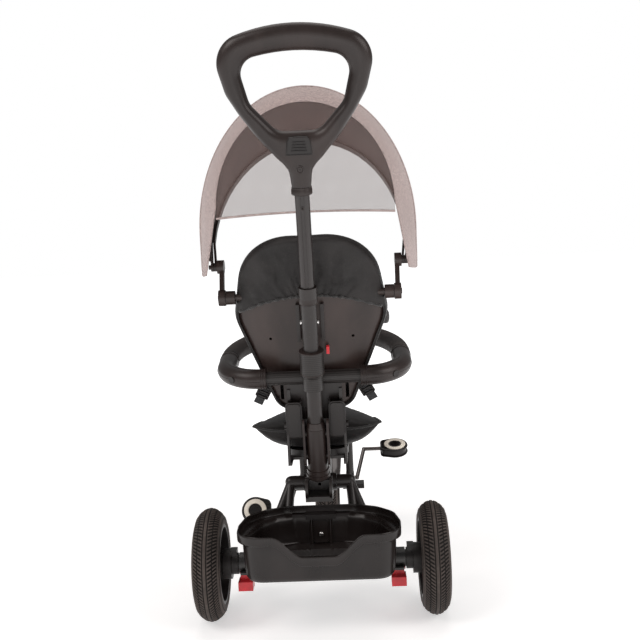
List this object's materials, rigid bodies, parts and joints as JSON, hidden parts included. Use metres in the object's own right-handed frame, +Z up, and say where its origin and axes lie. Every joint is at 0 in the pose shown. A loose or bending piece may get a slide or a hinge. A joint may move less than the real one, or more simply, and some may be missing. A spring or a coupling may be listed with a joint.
{
  "type": "children's tricycle",
  "caption": "Push-along tricycle with a telescoping parent handle, padded bucket seat, guard ring, folding sun canopy, storage basket and pedalled, steered front wheel.",
  "frame": {"origin": "on the floor under the middle of the whole machine, at rest with the canopy open and the handle fully up", "axes": "+X to the rider's right, +Y the way it travels, +Z up"},
  "size_m": [0.448, 0.8215, 1.006],
  "materials": {
    "frame_paint": "satin dark brown powder coat",
    "frame_steel": "bare steel",
    "crank_steel": "dark plated rod",
    "upper_tube_metal": "satin dark coat",
    "moulding_brown": "satin dark-brown moulding",
    "shell_brown": "satin brown moulding",
    "moulding_black": "black moulding",
    "fender_gloss": "glossy dark-brown moulding",
    "bush_nylon": "plain nylon",
    "signal_red": "red moulding",
    "tyre_tread": "dark foam rubber with a shallow tread",
    "grip_rubber": "soft grey grip",
    "bar_metal": "satin dark coat",
    "seat_cloth": "dark woven seat fabric, padded",
    "loop_foam": "padded cover",
    "strap_web": "black webbing and buckles",
    "canopy_cloth": "taupe melange fabric",
    "window_mesh": "see-through mesh",
    "rib_rod": "dark rib"
  },
  "bodies": {
    "frame": {"main_frame": "frame_paint", "headset_bushes": "frame_steel", "seat_post": "frame_paint", "seat_pan": "shell_brown", "seat_cushion": "seat_cloth", "fold_yoke": "frame_paint"},
    "rear_axle": {"rear_frame": "frame_paint", "fold_pin": "frame_steel", "axle_shaft": "frame_steel", "brake_housings": "moulding_black", "basket": "moulding_black", "basket_clip": "moulding_black"},
    "rear_wheel_left": {"rear_tyre_left": "tyre_tread", "rear_rim_left": "moulding_black", "rear_bush_left": "bush_nylon", "rear_cap_left": "moulding_black"},
    "rear_wheel_right": {"rear_tyre_right": "tyre_tread", "rear_rim_right": "moulding_black", "rear_bush_right": "bush_nylon", "rear_cap_right": "moulding_black"},
    "brake_left": {"brake_pedal_left": "signal_red"},
    "brake_right": {"brake_pedal_right": "signal_red"},
    "steering": {"fork": "frame_paint", "fender": "fender_gloss", "handlebar": "bar_metal", "handle_grips": "grip_rubber"},
    "front_wheel": {"front_tyre": "tyre_tread", "front_rim": "moulding_black", "cranks": "crank_steel"},
    "pedal_left_body": {"pedal_left": "moulding_black", "pedal_ring_left": "bush_nylon"},
    "pedal_right_body": {"pedal_right": "moulding_black", "pedal_ring_right": "bush_nylon"},
    "footrest_left_body": {"footrest_left": "shell_brown"},
    "footrest_right_body": {"footrest_right": "shell_brown"},
    "pole": {"pole_socket": "moulding_brown", "seat_hinge_pin": "frame_steel", "pole_tube": "frame_paint", "pole_lock_pin": "frame_steel", "guard_bar": "frame_paint", "guard_elbows": "moulding_brown"},
    "backrest": {"back_shell": "shell_brown", "back_cover": "seat_cloth", "back_bracket": "frame_paint", "harness": "strap_web", "canopy_pegs": "shell_brown"},
    "recline": {"recline_lever": "signal_red"},
    "collar": {"lock_collar": "moulding_brown"},
    "guard": {"guard_loop": "loop_foam"},
    "guard_button_left_body": {"guard_button_left": "moulding_black"},
    "guard_button_right_body": {"guard_button_right": "moulding_black"},
    "upper_pole": {"upper_tube": "upper_tube_metal", "push_handle": "moulding_brown"},
    "height_button_body": {"height_button": "moulding_black"},
    "canopy": {"canopy_arms": "shell_brown", "rear_rib": "rib_rod", "canopy_mesh": "window_mesh", "canopy_back": "canopy_cloth", "canopy_roof": "canopy_cloth"},
    "canopy_front": {"front_rib": "rib_rod"}
  },
  "joints": [
    {"name": "rear_fold", "type": "hinge", "parent": "frame", "child": "rear_axle", "pos_m": [0, -0.11317, 0.224], "axis": [1, 0, 0], "range_deg": [0, 50]},
    {"name": "rear_wheel_left_spin", "type": "hinge", "parent": "rear_axle", "child": "rear_wheel_left", "pos_m": [-0.199, -0.18917, 0.1], "axis": [1, 0, 0], "continuous": true},
    {"name": "rear_wheel_right_spin", "type": "hinge", "parent": "rear_axle", "child": "rear_wheel_right", "pos_m": [0.199, -0.18917, 0.1], "axis": [1, 0, 0], "continuous": true},
    {"name": "brake_left_press", "type": "hinge", "parent": "rear_axle", "child": "brake_left", "pos_m": [-0.135, -0.18917, 0.1], "axis": [1, 0, 0], "range_deg": [0, 15]},
    {"name": "brake_right_press", "type": "hinge", "parent": "rear_axle", "child": "brake_right", "pos_m": [0.135, -0.18917, 0.1], "axis": [1, 0, 0], "range_deg": [0, 15]},
    {"name": "steer", "type": "hinge", "parent": "frame", "child": "steering", "pos_m": [0, 0.28583, 0.125], "axis": [0, -0.2924, 0.9563], "range_deg": [-30, 30]},
    {"name": "front_wheel_spin", "type": "hinge", "parent": "steering", "child": "front_wheel", "pos_m": [0, 0.28583, 0.125], "axis": [1, 0, 0], "continuous": true},
    {"name": "pedal_left_spin", "type": "hinge", "parent": "front_wheel", "child": "pedal_left_body", "pos_m": [-0.156, 0.2091, 0.07798], "axis": [1, 0, 0], "continuous": true},
    {"name": "pedal_right_spin", "type": "hinge", "parent": "front_wheel", "child": "pedal_right_body", "pos_m": [0.156, 0.36257, 0.17203], "axis": [1, 0, 0], "continuous": true},
    {"name": "footrest_left_fold", "type": "hinge", "parent": "frame", "child": "footrest_left_body", "pos_m": [-0.02, 0.11083, 0.158], "axis": [0, 1, 0], "range_deg": [0, 80]},
    {"name": "footrest_right_fold", "type": "hinge", "parent": "frame", "child": "footrest_right_body", "pos_m": [0.02, 0.11083, 0.158], "axis": [0, -1, 0], "range_deg": [0, 80]},
    {"name": "pole_fold", "type": "hinge", "parent": "frame", "child": "pole", "pos_m": [0, -0.17517, 0.345], "axis": [-1, 0, 0], "range_deg": [0, 30]},
    {"name": "back_recline", "type": "hinge", "parent": "pole", "child": "backrest", "pos_m": [0, -0.17517, 0.345], "axis": [-1, 0, 0], "range_deg": [0, 10]},
    {"name": "recline_release", "type": "slide", "parent": "backrest", "child": "recline", "axis": [0, -0.2756, 0.9613], "range_m": [0, 0.006], "stiffness_N_per_m": 200},
    {"name": "collar_lift", "type": "slide", "parent": "pole", "child": "collar", "axis": [0, -0.2756, 0.9613], "range_m": [0, 0.008], "stiffness_N_per_m": 200},
    {"name": "guard_slide", "type": "slide", "parent": "pole", "child": "guard", "axis": [0, 0.9833, 0.1822], "range_m": [0, 0.03]},
    {"name": "guard_button_right_press", "type": "slide", "parent": "pole", "child": "guard_button_right_body", "axis": [-0.6157, 0.7748, 0.1436], "range_m": [0, 0.0025], "stiffness_N_per_m": 400},
    {"name": "guard_button_left_press", "type": "slide", "parent": "pole", "child": "guard_button_left_body", "axis": [0.6157, 0.7748, 0.1436], "range_m": [0, 0.0025], "stiffness_N_per_m": 400},
    {"name": "pole_extend", "type": "slide", "parent": "pole", "child": "upper_pole", "axis": [0, -0.2756, 0.9613], "range_m": [-0.15, 0]},
    {"name": "height_press", "type": "slide", "parent": "upper_pole", "child": "height_button_body", "axis": [0, 0.9613, 0.2756], "range_m": [0, 0.003], "stiffness_N_per_m": 400},
    {"name": "canopy_tilt", "type": "hinge", "parent": "backrest", "child": "canopy", "pos_m": [0, -0.20117, 0.58], "axis": [-1, 0, 0], "range_deg": [-8, 15]},
    {"name": "canopy_fold", "type": "hinge", "parent": "canopy", "child": "canopy_front", "pos_m": [0, -0.17317, 0.633], "axis": [1, 0, 0], "range_deg": [0, 35], "deforming": ["canopy_roof"]}
  ]
}
